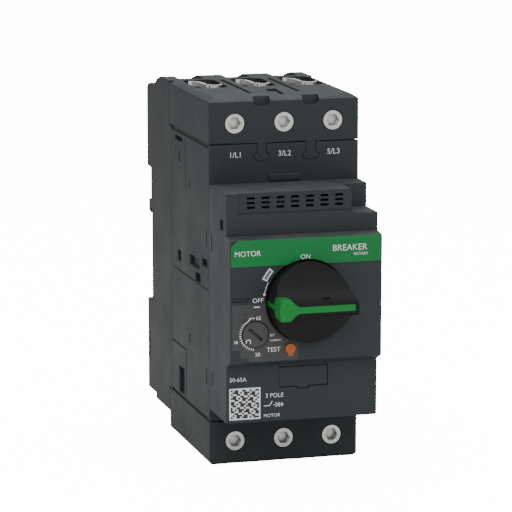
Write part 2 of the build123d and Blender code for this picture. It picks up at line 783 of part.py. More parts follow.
def current_dial():
    with BuildPart() as dial:
        rod_y(dial_x, dial_z, dial_radius, (panel_y - 0.3, cover_y - 0.3))
        rod_y(dial_x, dial_z, dial_stem, (cover_y - 0.3, bay_floor_y - 2))
        angle = radians(222)
        slot = Location((dial_x, panel_y, dial_z), (0, 42, 0))
        with Locations(slot):
            Box(2 * dial_radius - 3.0, 2.0, 1.0, mode=Mode.SUBTRACT)
        mark = Location((dial_x + 3.6 * cos(angle), panel_y - 0.3, dial_z + 3.6 * sin(angle)))
        with Locations(mark):
            Box(0.9, 0.6, 0.9, mode=Mode.SUBTRACT)
    save(dial, "current_dial")


def test_button():
    with BuildPart() as button:
        rod_y(test_x, test_z, test_radius, (panel_y - 0.6, panel_y + 2.6))
        rod_y(test_x, test_z, test_flange, (panel_y + 2.5, panel_y + 3.8))
        rod_y(test_x, test_z, test_rod, (panel_y + 3, face_y + 21.3))
    save(button, "test_button")


def terminal_screw(label, x, z):
    with BuildPart() as screw:
        rod_y(x, z, head_radius, (face_y + 0.3, face_y + 0.3 + head_height))
        rod_y(x, z, screw_radius, (face_y + 1.0, face_y + screw_length))
        with BuildSketch(Plane.XZ.offset(-(face_y + 0.3))):
            with Locations((x, z)):
                RegularPolygon(socket_flats / 2, 6, major_radius=False)
        extrude(amount=-socket_depth, mode=Mode.SUBTRACT)
    save(screw, label)


def terminal_clamp(label, x, z):
    """A steel cage round the conductor's tang, drawn forward by its screw."""
    low = z - cage_height / 2
    with BuildPart() as cage:
        block(around(x, cage_half), cage_y, (low, low + cage_height))
        room = (cage_y[0] + cage_floor, cage_y[1] - cage_floor)
        inside = around(x, cage_half - cage_wall)
        block(inside, room, (low - 1, low + cage_height + 1), Mode.SUBTRACT)
        with BuildSketch(Plane.XY.offset(low - 1)) as saddle:
            with Locations((x, room[1] - 6.0)):
                Circle(7.2)
                Rectangle(2 * (cage_half - cage_wall), 40, mode=Mode.INTERSECT)
        extrude(saddle.sketch, amount=cage_height + 2, mode=Mode.SUBTRACT)
        rod_y(x, z, screw_radius + fit, (cage_y[0] - 1, room[0] + 1), Mode.SUBTRACT)
    save(cage, label)


def din_clip():
    low, high = base_bottom - 3.2, recess_z[0] - 0.3
    with BuildPart() as clip:
        block(around(0, clip_half), clip_y, (low, high))
        block(around(0, clip_half + clip_rail), (clip_y[0] + 1, clip_y[0] + 2.6), (low + 3.4, high - 2))
        block(around(0, clip_half), (clip_y[0] + 1.1, clip_y[1]), (high, high + 2.1))
        block(around(0, 2.4), (clip_y[0] - 1, clip_y[1] - 0.8), (15.0, 37.0), Mode.SUBTRACT)
        block(around(0, 3.0), (clip_y[0] + 1, clip_y[1] + 1), (low + 1.4, low + 3.0), Mode.SUBTRACT)
    save(clip, "din_clip")


os.makedirs("parts", exist_ok=True)

base_housing()
case_housing()
upper_terminal_cap()
lower_terminal_cap()
front_cover()
nameplate()
setting_plate()
accessory_flap()
rotary_knob()
knob_pointer()
drive_shaft()
mechanism_frame()
toggle_lever()
latch_lever()
contact_carrier()
trip_bar()
current_dial()
test_button()
din_clip()
coil("toggle_spring", 2.3, 0.7, 0.8, 4, (-8.6, pin_y, pin_z), (1, 0, 0))
test_pitch = (test_post_y - panel_y - 4.3) / 5
coil("test_spring", 1.9, 0.4, test_pitch, 5, (test_x, panel_y + 4.1, test_z), (0, 1, 0))
clip_spring = (1.1, 0.4, 2.65, 5)
coil("din_clip_spring", *clip_spring, (0, clip_y[0] + 1.45, clip_peg_z + 0.25), (0, 0, 1))

for number, x in enumerate(poles, start=1):
    line_conductor(f"line_conductor_{number}", x)
    fixed_contact(f"fixed_contact_{number}", x)
    load_conductor(f"load_conductor_{number}", x)
    contact_bridge(f"contact_bridge_{number}", x)
    arc_chute(f"arc_chute_{number}", x)
    trip_coil(f"trip_coil_{number}", x)
    trip_plunger(f"trip_plunger_{number}", x)
    bimetal(f"bimetal_{number}", x)
    terminal_screw(f"line_screw_{number}", x, upper_screw_z)
    terminal_screw(f"load_screw_{number}", x, lower_screw_z)
    terminal_clamp(f"line_clamp_{number}", x, upper_screw_z)
    terminal_clamp(f"load_clamp_{number}", x, lower_screw_z)

with BuildPart() as springs:
    for x in poles:
        start = (x, crossbar_y[1] - 4.7, contact_z)
        wound = Helix(1.5, 6.0, 1.7, center=start, direction=(0, 1, 0))
        with BuildSketch(Plane(origin=wound @ 0, z_dir=wound % 0)) as wire:
            Circle(0.25)
        sweep(wire.sketch, path=wound, is_frenet=True)
save(springs, "contact_springs")
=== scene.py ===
import json
import math

import bmesh
import bpy
from mathutils import Matrix, Vector
from mathutils.kdtree import KDTree

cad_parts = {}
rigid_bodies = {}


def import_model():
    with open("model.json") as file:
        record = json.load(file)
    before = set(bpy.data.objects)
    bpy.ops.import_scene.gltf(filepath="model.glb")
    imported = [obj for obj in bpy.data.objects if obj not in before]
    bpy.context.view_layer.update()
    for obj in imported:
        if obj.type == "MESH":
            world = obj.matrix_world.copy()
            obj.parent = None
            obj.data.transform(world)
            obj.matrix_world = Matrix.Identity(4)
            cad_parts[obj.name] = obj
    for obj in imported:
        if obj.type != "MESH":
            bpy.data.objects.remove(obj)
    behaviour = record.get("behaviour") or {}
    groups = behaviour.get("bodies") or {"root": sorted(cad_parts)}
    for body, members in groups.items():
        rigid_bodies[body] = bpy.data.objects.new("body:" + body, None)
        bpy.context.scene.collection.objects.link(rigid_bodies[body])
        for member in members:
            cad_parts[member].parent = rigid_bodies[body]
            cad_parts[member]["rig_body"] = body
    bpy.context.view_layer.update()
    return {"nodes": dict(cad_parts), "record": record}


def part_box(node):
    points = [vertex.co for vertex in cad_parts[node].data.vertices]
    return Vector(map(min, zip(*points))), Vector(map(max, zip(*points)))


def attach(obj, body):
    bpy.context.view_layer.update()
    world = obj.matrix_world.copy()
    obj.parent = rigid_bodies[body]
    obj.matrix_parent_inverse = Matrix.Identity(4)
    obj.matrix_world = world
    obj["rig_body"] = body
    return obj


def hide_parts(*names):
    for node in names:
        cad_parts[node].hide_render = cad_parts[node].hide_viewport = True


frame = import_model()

nodes = frame["nodes"]
bodyOf = {name: node["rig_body"] for name, node in nodes.items()}
slotOf = {part["node"]: part["material_slot"] for part in frame["record"]["subparts"]}
mm = 0.001
poleCount = 3
zoneDepth = 5 * mm                       # from the raised panel back to the lower zone

# places read from the frame, in metres
knobLow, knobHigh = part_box("rotary_knob")
capLow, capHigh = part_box("upper_terminal_cap")
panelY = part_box("setting_plate")[0].y    # the raised panel's face
zoneY = panelY + zoneDepth               # the lower zone's face
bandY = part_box("nameplate")[0].y         # the green band's face
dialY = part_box("current_dial")[0].y      # the dial's face
blockY = capLow.y                        # the terminal blocks' face
knobZ = (knobLow.z + knobHigh.z) / 2
poleX = []
for i in range(1, poleCount + 1):
    screwLow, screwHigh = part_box(f"line_screw_{i}")
    poleX.append((screwLow.x + screwHigh.x) / 2)


def newGroup(name, inputs, outputs):
    group = bpy.data.node_groups.new(name, "ShaderNodeTree")
    for label, value in inputs:
        socket = group.interface.new_socket(label, in_out="INPUT", socket_type="NodeSocketFloat")
        socket.default_value = value
    for label in outputs:
        group.interface.new_socket(label, in_out="OUTPUT", socket_type="NodeSocketFloat")
    return group, group.nodes.new("NodeGroupInput"), group.nodes.new("NodeGroupOutput")


def feed(tree, socket, value):
    # a socket takes either a link or a constant
    if isinstance(value, bpy.types.NodeSocket):
        tree.links.new(value, socket)
    elif isinstance(value, (tuple, list)) and len(value) == 3 and len(socket.default_value) == 4:
        socket.default_value = (*value, 1.0)
    else:
        socket.default_value = value


def mathNode(tree, operation, *values, clamp=False):
    node = tree.nodes.new("ShaderNodeMath")
    node.operation, node.use_clamp = operation, clamp
    for socket, value in zip(node.inputs, values):
        feed(tree, socket, value)
    return node.outputs[0]


def noiseNode(tree, vector, scale, detail=4.0, roughness=0.6):
    node = tree.nodes.new("ShaderNodeTexNoise")
    node.inputs["Detail"].default_value = detail
    node.inputs["Roughness"].default_value = roughness
    feed(tree, node.inputs["Vector"], vector)
    feed(tree, node.inputs["Scale"], scale)
    return node.outputs["Fac"]


def rangeNode(tree, value, *ends):
    node = tree.nodes.new("ShaderNodeMapRange")
    feed(tree, node.inputs["Value"], value)
    for label, number in zip(("From Min", "From Max", "To Min", "To Max"), ends):
        feed(tree, node.inputs[label], number)
    return node.outputs["Result"]


grainLook = {
    "scale": 5200.0,
    "detail": 3.0,
    "sharpness": 0.7,
    "cellScale": 0.45,      # of the grain's own scale
    "cellHeight": 0.6,
    "patchScale": 55.0,
    "patchDetail": 5.0,
    "patchSharpness": 0.55,
    "spreadGain": 4.0,
}


def makeGrainGroup():
    # the fine texture a moulding tool leaves, with slow patches in the gloss
    group, start, end = newGroup(
        "mouldGrain",
        (("Grain Scale", grainLook["scale"]), ("Roughness", 0.5), ("Roughness Spread", 0.08)),
        ("Height", "Roughness", "Patch"),
    )
    place = group.nodes.new("ShaderNodeTexCoord").outputs["Object"]
    fine = noiseNode(group, place, start.outputs["Grain Scale"], grainLook["detail"], grainLook["sharpness"])
    cells = group.nodes.new("ShaderNodeTexVoronoi")
    cells.feature = "SMOOTH_F1"
    feed(group, cells.inputs["Vector"], place)
    cellScale = mathNode(group, "MULTIPLY", start.outputs["Grain Scale"], grainLook["cellScale"])
    feed(group, cells.inputs["Scale"], cellScale)
    height = mathNode(group, "MULTIPLY_ADD", cells.outputs["Distance"], grainLook["cellHeight"], fine)
    patchLook = (grainLook["patchScale"], grainLook["patchDetail"], grainLook["patchSharpness"])
    patch = noiseNode(group, place, *patchLook)
    spread = mathNode(group, "MULTIPLY", start.outputs["Roughness Spread"], grainLook["spreadGain"])
    offset = mathNode(group, "SUBTRACT", patch, 0.5)
    rough = mathNode(group, "MULTIPLY_ADD", offset, spread, start.outputs["Roughness"], clamp=True)
    group.links.new(height, end.inputs["Height"])
    group.links.new(rough, end.inputs["Roughness"])
    group.links.new(patch, end.inputs["Patch"])
    return group


scuffLook = {
    "scale": 260.0,
    "turn": (0.3, 0.5, 0.4),
    "stretch": (1.0, 0.18, 3.0),
    "detail": 5.0,
    "lines": (0.6, 0.74),       # how much of the streaks shows
    "patchScale": 38.0,
    "patchDetail": 3.0,
    "patches": (0.5, 0.66),     # how much of the surface is touched
}


def makeScuffGroup():
    # faint handling marks: stretched noise, kept to a few patches
    group, start, end = newGroup("handlingScuffs", (("Scale", scuffLook["scale"]), ("Amount", 0.3)), ("Mask",))
    place = group.nodes.new("ShaderNodeTexCoord").outputs["Object"]
    mapping = group.nodes.new("ShaderNodeMapping")
    mapping.inputs["Rotation"].default_value = scuffLook["turn"]
    mapping.inputs["Scale"].default_value = scuffLook["stretch"]
    group.links.new(place, mapping.inputs["Vector"])
    streaks = noiseNode(group, mapping.outputs["Vector"], start.outputs["Scale"], scuffLook["detail"])
    lines = rangeNode(group, streaks, *scuffLook["lines"], 0.0, 1.0)
    blotches = noiseNode(group, place, scuffLook["patchScale"], scuffLook["patchDetail"], 0.5)
    patches = rangeNode(group, blotches, *scuffLook["patches"], 0.0, 1.0)
    marks = mathNode(group, "MULTIPLY", lines, patches)
    mask = mathNode(group, "MULTIPLY", marks, start.outputs["Amount"], clamp=True)
    group.links.new(mask, end.inputs["Mask"])
    return group


dustLook = {
    "colour": (0.42, 0.43, 0.43),
    "upward": (0.35, 0.98),     # how far a face must look up before dust settles
    "cloudScale": 130.0,
    "cloudDetail": 6.0,
    "cloudSharpness": 0.7,
    "cloud": (0.35, 0.75),
    "thinnest": 0.4,
}


def makeDustGroup():
    # a light film of dust on what faces up
    group, start, end = newGroup("settledDust", (("Amount", 0.1),), ("Mask",))
    facing = group.nodes.new("ShaderNodeNewGeometry").outputs["Normal"]
    split = group.nodes.new("ShaderNodeSeparateXYZ")
    group.links.new(facing, split.inputs[0])
    place = group.nodes.new("ShaderNodeTexCoord").outputs["Object"]
    upward = rangeNode(group, split.outputs["Z"], *dustLook["upward"], 0.0, 1.0)
    cloudLook = (dustLook["cloudScale"], dustLook["cloudDetail"], dustLook["cloudSharpness"])
    specks = noiseNode(group, place, *cloudLook)
    cloud = rangeNode(group, specks, *dustLook["cloud"], dustLook["thinnest"], 1.0)
    film = mathNode(group, "MULTIPLY", upward, cloud)
    mask = mathNode(group, "MULTIPLY", film, start.outputs["Amount"], clamp=True)
    group.links.new(mask, end.inputs["Mask"])
    return group


groups = {"grain": makeGrainGroup(), "scuff": makeScuffGroup(), "dust": makeDustGroup()}


def placeGroup(tree, kind, values):
    node = tree.nodes.new("ShaderNodeGroup")
    node.node_tree = groups[kind]
    for label, value in values.items():
        node.inputs[label].default_value = value
    return node


def mixColour(tree, factor, first, second):
    node = tree.nodes.new("ShaderNodeMix")
    node.data_type = "RGBA"
    feed(tree, node.inputs["Factor"], factor)
    feed(tree, node.inputs["A"], first)
    feed(tree, node.inputs["B"], second)
    return node.outputs["Result"]


def newMaterial(name, colour):
    material = bpy.data.materials.new(name)
    material.use_nodes = True
    material.diffuse_color = (*colour, 1.0)
    tree = material.node_tree
    return material, tree, tree.nodes["Principled BSDF"]


def addBump(tree, shader, height, strength, distance):
    bump = tree.nodes.new("ShaderNodeBump")
    bump.inputs["Strength"].default_value = strength
    bump.inputs["Distance"].default_value = distance
    tree.links.new(height, bump.inputs["Height"])
    tree.links.new(bump.outputs["Normal"], shader.inputs["Normal"])


def shades(colour, factor, lift=0.0):
    return tuple(min(1.0, channel * factor + lift) for channel in colour)


plasticLook = {
    "dark": 0.88,           # shades of the plain colour, from patch to patch
    "light": 1.14,
    "scuffed": 1.5,
    "scuffLift": 0.006,
    "glossSpread": 0.06,
    "grainDepth": 0.00006,
}


def mouldedPlastic(name, colour, rough=0.5, grain=grainLook["scale"], bump=0.16, scuff=0.3, dust=0.1,
                   specular=0.3):
    material, tree, shader = newMaterial(name, colour)
    gloss = {"Grain Scale": grain, "Roughness": rough, "Roughness Spread": plasticLook["glossSpread"]}
    grainNode = placeGroup(tree, "grain", gloss)
    dark, light = shades(colour, plasticLook["dark"]), shades(colour, plasticLook["light"])
    body = mixColour(tree, grainNode.outputs["Patch"], dark, light)
    scuffNode = placeGroup(tree, "scuff", {"Amount": scuff})
    scuffed = shades(colour, plasticLook["scuffed"], plasticLook["scuffLift"])
    body = mixColour(tree, scuffNode.outputs["Mask"], body, scuffed)
    dustNode = placeGroup(tree, "dust", {"Amount": dust})
    body = mixColour(tree, dustNode.outputs["Mask"], body, dustLook["colour"])
    feed(tree, shader.inputs["Base Color"], body)
    feed(tree, shader.inputs["Roughness"], grainNode.outputs["Roughness"])
    shader.inputs["Specular IOR Level"].default_value = specular
    addBump(tree, shader, grainNode.outputs["Height"], bump, plasticLook["grainDepth"])
    return material


metalLook = {
    "lineDetail": 6.0,
    "lineSharpness": 0.65,
    "lineDepth": 0.00003,
    "stainScale": 240.0,
    "stain": (0.5, 0.8),        # how much of the surface is tarnished
    "stainMost": 0.45,
    "creviceReach": 0.0022,     # how far the painted shade reaches out of the corners
    "creviceSamples": 6,
    # painted shade: these set how strongly, and to what tone, the colour darkens in corners and crevices
    "paintedShade": (0.25, 0.8),
    "paintedShadeMost": 0.85,
    "paintedShadeTone": 0.12,
    "lines": (0.25, 0.75),
    "gloss": (0.75, 1.35),      # of the metal's own roughness
}


def platedMetal(name, colour, rough=0.28, streak=(1.0, 1.0, 1.0), scale=900.0, bump=0.1,
                tarnish=(0.3, 0.27, 0.23)):
    material, tree, shader = newMaterial(name, colour)
    place = tree.nodes.new("ShaderNodeTexCoord").outputs["Object"]
    mapping = tree.nodes.new("ShaderNodeMapping")
    mapping.inputs["Scale"].default_value = streak
    tree.links.new(place, mapping.inputs["Vector"])
    alongLines = mapping.outputs["Vector"]
    lines = noiseNode(tree, alongLines, scale, metalLook["lineDetail"], metalLook["lineSharpness"])
    blotches = noiseNode(tree, place, metalLook["stainScale"])
    stain = rangeNode(tree, blotches, *metalLook["stain"], 0.0, metalLook["stainMost"])
    body = mixColour(tree, stain, colour, tarnish)
    # painted shade: an ambient occlusion mask darkens the colour in corners and crevices, where shade falls
    crevice = tree.nodes.new("ShaderNodeAmbientOcclusion")
    crevice.samples = metalLook["creviceSamples"]
    crevice.inputs["Distance"].default_value = metalLook["creviceReach"]
    paintedShade = rangeNode(tree, crevice.outputs["AO"], *metalLook["paintedShade"], metalLook["paintedShadeMost"], 0.0)
    withPaintedShade = mixColour(tree, paintedShade, body, shades(colour, metalLook["paintedShadeTone"]))
    smooth, worn = (rough * share for share in metalLook["gloss"])
    feed(tree, shader.inputs["Base Color"], withPaintedShade)
    feed(tree, shader.inputs["Roughness"], rangeNode(tree, lines, *metalLook["lines"], smooth, worn))
    shader.inputs["Metallic"].default_value = 1.0
    addBump(tree, shader, lines, bump, metalLook["lineDepth"])
    return material


inkLook = {
    "roughness": 0.45,
    "speckleScale": 2600.0,
    "speckleDetail": 3.0,
    "thin": (0.3, 0.7),         # where the ink lies thinner
    "thinMost": 0.22,
    "thinShade": 0.72,
    "matt": (0.2, 0.8),
    "mattSpread": (-0.08, 0.1),
}


def printedInk(name, colour):
    material, tree, shader = newMaterial(name, colour)
    place = tree.nodes.new("ShaderNodeTexCoord").outputs["Object"]
    speckle = noiseNode(tree, place, inkLook["speckleScale"], inkLook["speckleDetail"])
    thin = rangeNode(tree, speckle, *inkLook["thin"], 0.0, inkLook["thinMost"])
    ink = mixColour(tree, thin, colour, shades(colour, inkLook["thinShade"]))
    smooth, matt = (inkLook["roughness"] + shift for shift in inkLook["mattSpread"])
    feed(tree, shader.inputs["Base Color"], ink)
    feed(tree, shader.inputs["Roughness"], rangeNode(tree, speckle, *inkLook["matt"], smooth, matt))
    return material


# each material slot: the material's name, its colour, and what sets it apart
plastics = {
    "housing": ("housingPlastic", (0.0165, 0.0205, 0.0225), {"rough": 0.6}),
    "front": ("frontPlastic", (0.0175, 0.0225, 0.025), {"rough": 0.58, "grain": 6000.0}),
    "knob_black": (
        "knobPlastic", (0.0042, 0.0044, 0.0047), {"rough": 0.6, "bump": 0.1, "dust": 0.0, "specular": 0.2}
    ),
    "green": ("pointerGreen", (0.0, 0.15, 0.02), {"bump": 0.06, "scuff": 0.1, "dust": 0.0}),
    "label_green": ("labelGreen", (0.0, 0.135, 0.03), {"bump": 0.04, "scuff": 0.06, "dust": 0.0}),
    "plate_grey": ("plateGrey", (0.040, 0.041, 0.042), {"rough": 0.55, "bump": 0.08, "dust": 0.0}),
    "dial_grey": ("dialGrey", (0.043, 0.044, 0.045), {"rough": 0.52, "bump": 0.08, "dust": 0.0}),
    "orange": ("testOrange", (0.36, 0.085, 0.010), {"bump": 0.06, "dust": 0.0}),
    "inner_plastic": ("thermosetBrown", (0.12, 0.10, 0.085), {"rough": 0.55, "grain": 3000.0}),
}
metals = {
    "zinc_steel": ("zincSteel", (0.66, 0.66, 0.64), {"rough": 0.34, "streak": (1.0, 0.25, 1.0)}),
    "spring_steel": ("springWire", (0.55, 0.55, 0.56), {"rough": 0.2, "scale": 1600.0, "bump": 0.05}),
    "copper": (
        "bareCopper", (0.78, 0.40, 0.25), {"streak": (1.0, 1.0, 0.15), "tarnish": (0.35, 0.16, 0.09)}
    ),
    "coil_copper": ("lacqueredWinding", (0.55, 0.2, 0.08), {"rough": 0.22, "tarnish": (0.25, 0.08, 0.03)}),
    "bimetal": ("bimetalStrip", (0.56, 0.5, 0.43), {"rough": 0.32, "streak": (1.0, 1.0, 0.1)}),
}
inks = {"whiteInk": (0.62, 0.63, 0.63), "greyInk": (0.12, 0.125, 0.13), "darkInk": (0.006, 0.006, 0.007)}
finishes = {slot: mouldedPlastic(name, colour, **more) for slot, (name, colour, more) in plastics.items()}
finishes.update({slot: platedMetal(name, colour, **more) for slot, (name, colour, more) in metals.items()})
brightStrip = platedMetal("brightStrip", (0.9, 0.9, 0.9), rough=0.5, bump=0.04, tarnish=(0.7, 0.7, 0.69))
whiteInk, greyInk, darkInk = (printedInk(name, colour) for name, colour in inks.items())
print("materials ready:", len(bpy.data.materials))


def onlySelect(piece):
    bpy.ops.object.select_all(action="DESELECT")
    piece.select_set(True)
    bpy.context.view_layer.objects.active = piece


def settle(piece, body, material, smoothAngle=32.0):
    onlySelect(piece)
    bpy.ops.object.transform_apply(location=True, rotation=True, scale=True)
    piece.data.materials.clear()
    piece.data.materials.append(material)
    bpy.ops.object.shade_smooth_by_angle(angle=math.radians(smoothAngle))
    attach(piece, body)
    return piece


# which edges are rounded, with angles in degrees
rounding = {
    "flatAngle": 0.5,           # triangles this close to one plane are made one face
    "crispAngle": 5.0,          # what counts as an edge at all
    "sharpAngle": 28.0,         # what is rounded
    "clearWidths": 2.4,         # free room beside it, in radii
    "straightOn": 0.9,          # an edge that goes on in line
    "beside": 0.8,              # above this, a near point lies ahead and not beside
    "mergeReach": 0.000002,
}


def clearEnds(edge, reach):
    # true when nothing short crosses the corner at either end of the edge
    for corner in edge.verts:
        along = (edge.other_vert(corner).co - corner.co).normalized()
        for other in corner.link_edges:
            if other is edge:
                continue
            across = (other.other_vert(corner).co - corner.co).normalized()
            if abs(along.dot(across)) < rounding["straightOn"] and other.calc_length() < reach:
                return False
    return True


def spots(edge, spacing):
    # evenly spaced points along an edge, with its ends
    start, end = (corner.co for corner in edge.verts)
    count = max(1, math.ceil(edge.calc_length() / spacing))
    return [start.lerp(end, i / count) for i in range(count + 1)]


def crowded(edge, tree, owners, edges, reach):
    # true when another crisp edge runs beside this one
    along = (edge.verts[1].co - edge.verts[0].co).normalized()
    for spot in spots(edge, reach):
        for place, index, distance in tree.find_range(spot, reach):
            other = edges[owners[index]]
            if other is edge or set(other.verts) & set(edge.verts) or distance < 1e-9:
                continue
            if abs(along.dot((place - spot) / distance)) < rounding["beside"]:
                return True
    return False


def weighEdges(mesh, width):
    # only crisp outer edges with broad clear faces beside them are rounded
    reach = rounding["clearWidths"] * width
    crispAngle, sharpAngle = math.radians(rounding["crispAngle"]), math.radians(rounding["sharpAngle"])
    work = bmesh.new()
    work.from_mesh(mesh)
    weights = work.edges.layers.float.new("bevel_weight_edge")
    work.edges.ensure_lookup_table()
    crisp = [e for e in work.edges if len(e.link_faces) == 2 and e.calc_face_angle(0.0) > crispAngle]
    marks = [(n, spot) for n, edge in enumerate(crisp) for spot in spots(edge, reach / 3)]
    tree = KDTree(len(marks))
    for index, (n, spot) in enumerate(marks):
        tree.insert(spot, index)
    tree.balance()
    owners = [n for n, spot in marks]
    for edge in crisp:
        if not edge.is_convex or edge.calc_face_angle(0.0) < sharpAngle:
            continue
        if clearEnds(edge, reach) and not crowded(edge, tree, owners, crisp, reach):
            edge[weights] = 1.0
    work.to_mesh(mesh)
    work.free()


def roundedCopy(nodeName, pieceName, width, segments):
    # the plain shape with its outer edges rounded
    mesh = nodes[nodeName].data.copy()
    piece = bpy.data.objects.new(pieceName, mesh)
    bpy.context.scene.collection.objects.link(piece)
    onlySelect(piece)
    if mesh.has_custom_normals:
        bpy.ops.mesh.customdata_custom_splitnormals_clear()
    bpy.ops.object.mode_set(mode="EDIT")
    bpy.ops.mesh.select_all(action="SELECT")
    bpy.ops.mesh.remove_doubles(threshold=rounding["mergeReach"])
    bpy.ops.mesh.dissolve_limited(angle_limit=math.radians(rounding["flatAngle"]))
    bpy.ops.object.mode_set(mode="OBJECT")
    weighEdges(mesh, width)
    bevel = piece.modifiers.new("rounding", "BEVEL")
    bevel.limit_method = "WEIGHT"
    bevel.width, bevel.segments = width, segments
    bevel.use_clamp_overlap = False
    onlySelect(piece)
    bpy.ops.object.modifier_apply(modifier="rounding")
    bpy.ops.object.mode_set(mode="EDIT")
    bpy.ops.mesh.select_all(action="SELECT")
    bpy.ops.mesh.quads_convert_to_tris(ngon_method="BEAUTY")
    bpy.ops.object.mode_set(mode="OBJECT")
    settle(piece, bodyOf[nodeName], finishes[slotOf[nodeName]])
    shading = piece.modifiers.new("shading", "WEIGHTED_NORMAL")
    shading.keep_sharp = True
    bpy.ops.object.modifier_apply(modifier="shading")
    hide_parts(nodeName)
    return piece


lettering = {"curveSteps": 5, "smoothAngle": 20.0, "mergeReach": 0.000001}
inkDepth = 0.03 * mm


def writeText(name, words, x, y, z, size, body, material):
    # letters on a face that looks forward, y being the middle of their thickness
    bpy.ops.object.text_add(location=(0, 0, 0))
    text = bpy.context.object
    text.name = name
    text.data.body = words
    text.data.size = size
    text.data.align_x, text.data.align_y = "CENTER", "CENTER"
    text.data.extrude = inkDepth / 2
    text.data.resolution_u = lettering["curveSteps"]
    bpy.ops.object.convert(target="MESH")
    text = bpy.context.object
    middle = sum((Vector(corner) for corner in text.bound_box), Vector()) / 8
    text.data.transform(Matrix.Translation(-middle))
    text.data.transform(Matrix.Translation((x, y, z)) @ Matrix.Rotation(math.radians(90), 4, "X"))
    bpy.ops.object.mode_set(mode="EDIT")
    bpy.ops.mesh.select_all(action="SELECT")
    bpy.ops.mesh.remove_doubles(threshold=lettering["mergeReach"])
    bpy.ops.object.mode_set(mode="OBJECT")
    return settle(text, body, material, lettering["smoothAngle"])


def joinPieces(pieces, name):
    bpy.ops.object.select_all(action="DESELECT")
    for piece in pieces:
        piece.select_set(True)
    bpy.context.view_layer.objects.active = pieces[0]
    bpy.ops.object.join()
    pieces[0].name = name
    return pieces[0]


def flatShape(name, points, y, thickness):
    # a thin flat from an outline in x and z, its back on the plane y
    mesh = bpy.data.meshes.new(name)
    piece = bpy.data.objects.new(name, mesh)
    bpy.context.scene.collection.objects.link(piece)
    mesh.from_pydata([(x, y, z) for x, z in points], [], [list(range(len(points)))])
    onlySelect(piece)
    bpy.ops.object.mode_set(mode="EDIT")
    bpy.ops.mesh.select_all(action="SELECT")
    bpy.ops.mesh.extrude_region_move(TRANSFORM_OT_translate={"value": (0, -thickness, 0)})
    bpy.ops.mesh.select_all(action="SELECT")
    bpy.ops.mesh.normals_make_consistent(inside=False)
    bpy.ops.object.mode_set(mode="OBJECT")
    return piece


def bar(x0, x1, z0, z1):
    return [(x0, z0), (x1, z0), (x1, z1), (x0, z1)]


def stroke(start, end, width):
    # the outline of a straight line of some width between two points
    run = Vector(end) - Vector(start)
    beside = Vector((-run.y, run.x)).normalized() * width / 2
    corners = (Vector(start) + beside, Vector(start) - beside, Vector(end) - beside, Vector(end) + beside)
    return [tuple(corner) for corner in corners]


def arcBand(cx, cz, radius, width, start, end, steps=16):
    # the outline of a curved line between two angles, in degrees
    angles = [math.radians(start + (end - start) * i / steps) for i in range(steps + 1)]
    rims = []
    for edge in (radius + width / 2, radius - width / 2):
        rims.append([(cx + edge * math.cos(a), cz + edge * math.sin(a)) for a in angles])
    return rims[0] + rims[1][::-1]


# each outer piece: its name, the radius of its edges, and the steps in them
edgeRadius = {
    "base_housing": ("baseShell", 0.35 * mm, 2),
    "case_housing": ("caseShell", 0.3 * mm, 2),
    "upper_terminal_cap": ("upperCapShell", 0.4 * mm, 3),
    "lower_terminal_cap": ("lowerCapShell", 0.4 * mm, 3),
    "front_cover": ("coverShell", 0.4 * mm, 3),
    "accessory_flap": ("accessoryFlap", 0.15 * mm, 2),
    "rotary_knob": ("knobGrip", 0.25 * mm, 2),
    "knob_pointer": ("knobPointer", 0.2 * mm, 3),
    "current_dial": ("currentDial", 0.15 * mm, 2),
    "test_button": ("testButton", 0.2 * mm, 3),
    "din_clip": ("railClip", 0.25 * mm, 2),
}
terminalRadius = {"screw": (0.2 * mm, 3), "clamp": (0.25 * mm, 2)}
for nodeName, (pieceName, width, segments) in edgeRadius.items():
    roundedCopy(nodeName, pieceName, width, segments)
for i in range(1, poleCount + 1):
    for side in ("line", "load"):
        for part, (width, segments) in terminalRadius.items():
            roundedCopy(f"{side}_{part}_{i}", f"{side}{part.title()}{i}", width, segments)
print("housing and moving parts rounded")

for nodeName, node in nodes.items():
    for index in range(len(node.material_slots)):
        node.material_slots[index].material = finishes[slotOf[nodeName]]
print("inner parts coloured")

# in thicknesses of ink: the gap under it, and the step from one level to the next
inkStack = {"gap": 0.1, "step": 1.1, "textMiddle": 0.6}


def markText(name, words, x, z, size, y, body, ink):
    return writeText(name, words, x, y - inkDepth * inkStack["textMiddle"], z, size, body, ink)


def markShapes(name, outlines, y, body, ink, level=0):
    # printed shapes joined into one piece; a higher level lies on top of a lower one
    lift = inkDepth * (inkStack["gap"] + inkStack["step"] * level)
    flats = [flatShape(f"{name}{n}", points, y - lift, inkDepth) for n, points in enumerate(outlines)]
    return settle(joinPieces(flats, name), body, ink, lettering["smoothAngle"])


# words on the raised panel and the green band: place from the knob's centre, letter size and face, in mm
panelWords = {
    "markOn": ("ON", -0.6, 15.7, 2.35, "band"),
    "markFamily": ("MOTOR", -21.2, 17.6, 2.6, "band"),
    "markTitle": ("BREAKER", 15.6, 18.2, 3.1, "band"),
    "markTitleSmall": ("ROTARY", 19.6, 15.8, 1.35, "band"),
    "markOff": ("OFF", -17.5, 1.0, 2.3, "panel"),
    "markTest": ("TEST", -11.9, -16.6, 2.3, "plate"),
    "markSet": ("SET", -12.4, -11.5, 1.2, "plate"),
    "markCurrent": ("CURRENT", -11.1, -13.3, 0.95, "plate"),
    "markHigh": ("65", -17.3, -5.2, 1.9, "plate"),
    "markMiddle": ("58", -25.4, -13.4, 1.45, "plate"),
    "markLow": ("50", -17.6, -18.1, 1.9, "plate"),
}
faceOf = {
    "band": (bandY, bodyOf["nameplate"], "label_green"),
    "panel": (panelY, bodyOf["front_cover"], "front"),
    "plate": (panelY, bodyOf["setting_plate"], "plate_grey"),
}
for name, (words, x, z, size, face) in panelWords.items():
    faceY, body, slot = faceOf[face]
    markText(name, words, x * mm, knobZ + z * mm, size * mm, faceY, body, whiteInk)

